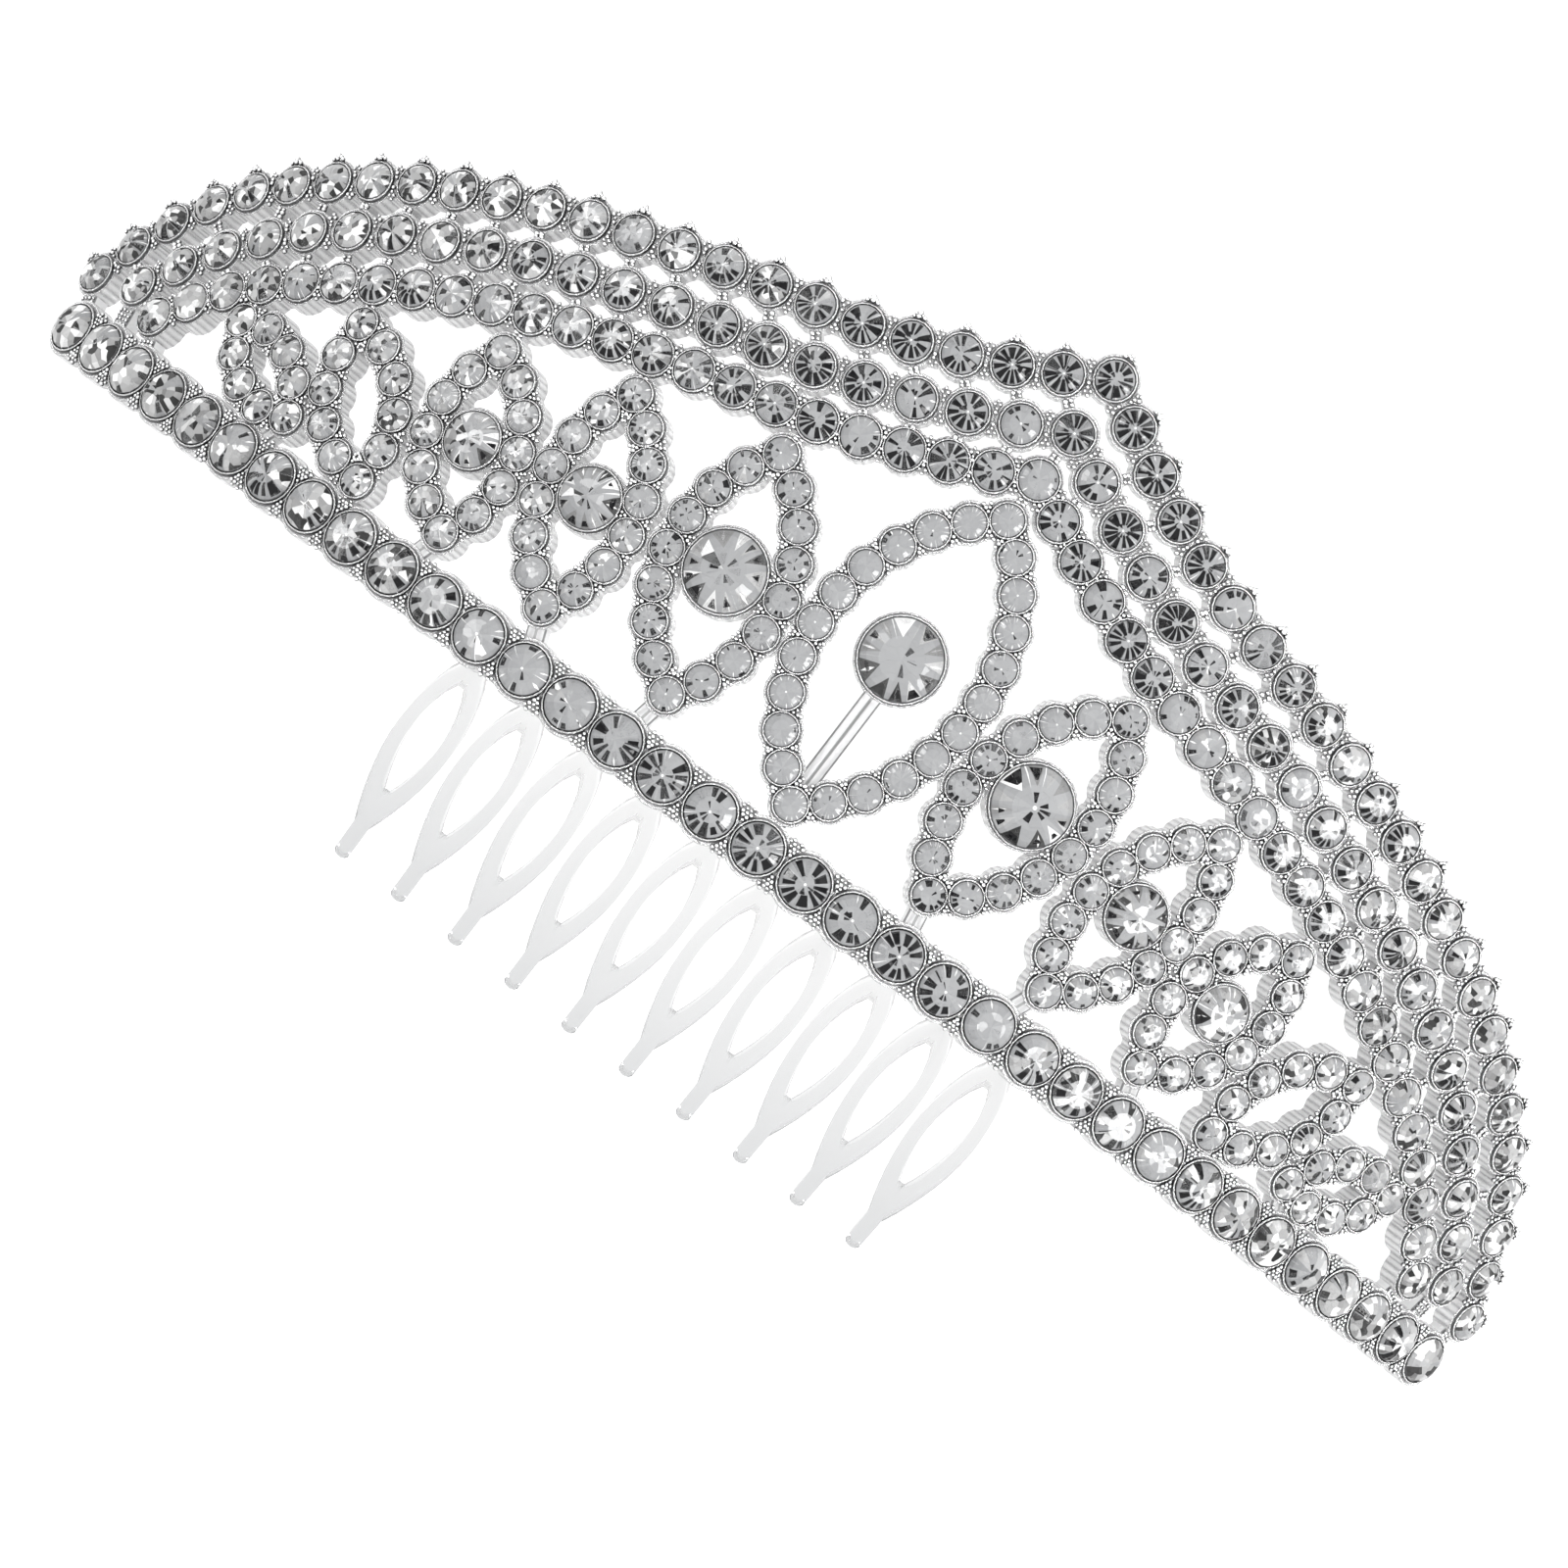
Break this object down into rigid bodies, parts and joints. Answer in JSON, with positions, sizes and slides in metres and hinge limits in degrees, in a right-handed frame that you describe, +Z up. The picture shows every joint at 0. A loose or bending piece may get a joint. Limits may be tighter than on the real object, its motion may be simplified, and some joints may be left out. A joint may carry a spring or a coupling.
{
  "type": "crystal tiara on a hair comb",
  "caption": "Bent, pierced silver-coloured tiara with three rows of round crystals over a row of pointed leaves, each with stones round it, on a clear looped hair comb.",
  "frame": {"origin": "on the surface that the tiara lies on, under the middle of its box", "axes": "+X along the long axis from the wearer's left end to the right end as seen from behind the peak, +Y from the peak to the comb, +Z up"},
  "size_m": [0.1548, 0.0716, 0.037],
  "materials": {
    "silver_plate": "bright silver plating over a cast alloy",
    "crystal": "foil-backed clear cut glass",
    "clear_plastic": "clear moulded plastic"
  },
  "bodies": {
    "root": {"frame": "silver_plate", "comb": "clear_plastic", "outer_row_stones": "crystal", "middle_row_stones": "crystal", "inner_row_stones": "crystal", "centre_leaf_stones": "crystal", "large_leaf_stones_right": "crystal", "large_leaf_stones_left": "crystal", "medium_leaf_stones_right": "crystal", "medium_leaf_stones_left": "crystal", "small_leaf_stones_right": "crystal", "small_leaf_stones_left": "crystal", "centre_solitaire": "crystal", "large_solitaire_right": "crystal", "large_solitaire_left": "crystal", "medium_solitaire_right": "crystal", "medium_solitaire_left": "crystal", "small_solitaire_right": "crystal", "small_solitaire_left": "crystal", "base_stone_1": "crystal", "base_stone_2": "crystal", "base_stone_3": "crystal", "base_stone_4": "crystal", "base_stone_5": "crystal", "base_stone_6": "crystal", "base_stone_7": "crystal", "base_stone_8": "crystal", "base_stone_9": "crystal", "base_stone_10": "crystal", "base_stone_11": "crystal", "base_stone_12": "crystal", "base_stone_13": "crystal", "base_stone_14": "crystal", "base_stone_15": "crystal", "base_stone_16": "crystal", "base_stone_17": "crystal", "base_stone_18": "crystal", "base_stone_19": "crystal", "base_stone_20": "crystal", "base_stone_21": "crystal", "base_stone_22": "crystal", "base_stone_23": "crystal", "base_stone_24": "crystal", "base_stone_25": "crystal", "base_stone_26": "crystal", "base_stone_27": "crystal", "base_stone_28": "crystal", "base_stone_29": "crystal", "base_stone_30": "crystal", "base_stone_31": "crystal", "base_stone_32": "crystal", "base_stone_33": "crystal", "base_stone_34": "crystal", "base_stone_35": "crystal"}
  },
  "joints": []
}
